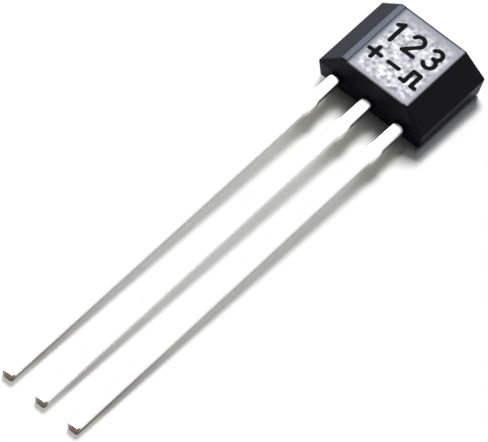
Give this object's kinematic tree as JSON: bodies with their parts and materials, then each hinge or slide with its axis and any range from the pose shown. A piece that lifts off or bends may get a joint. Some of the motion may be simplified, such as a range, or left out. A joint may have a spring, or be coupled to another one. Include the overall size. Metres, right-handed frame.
{
  "type": "hall effect sensor",
  "caption": "Magnetic field switch in a black chamfered moulded package with a silver marked face, on straight flat tinned leads for through-hole soldering.",
  "frame": {"origin": "middle of the flat back face, opposite the marked sensing face", "axes": "+Z out of the marked sensing face, leads along -Y, +X across the row of leads from the supply lead to the output lead"},
  "size_m": [0.004, 0.0175, 0.0015],
  "materials": {
    "moulding_compound": "satin",
    "tinned_lead": "satin",
    "silicon": "polished",
    "die_adhesive": "satin",
    "gold_wire": "polished"
  },
  "bodies": {
    "root": {"moulded_body": "moulding_compound", "lead_supply": "tinned_lead", "lead_ground": "tinned_lead", "lead_output": "tinned_lead", "hall_die": "silicon", "die_attach": "die_adhesive", "bond_wire_supply": "gold_wire", "bond_wire_ground": "gold_wire", "bond_wire_output": "gold_wire"}
  },
  "joints": []
}
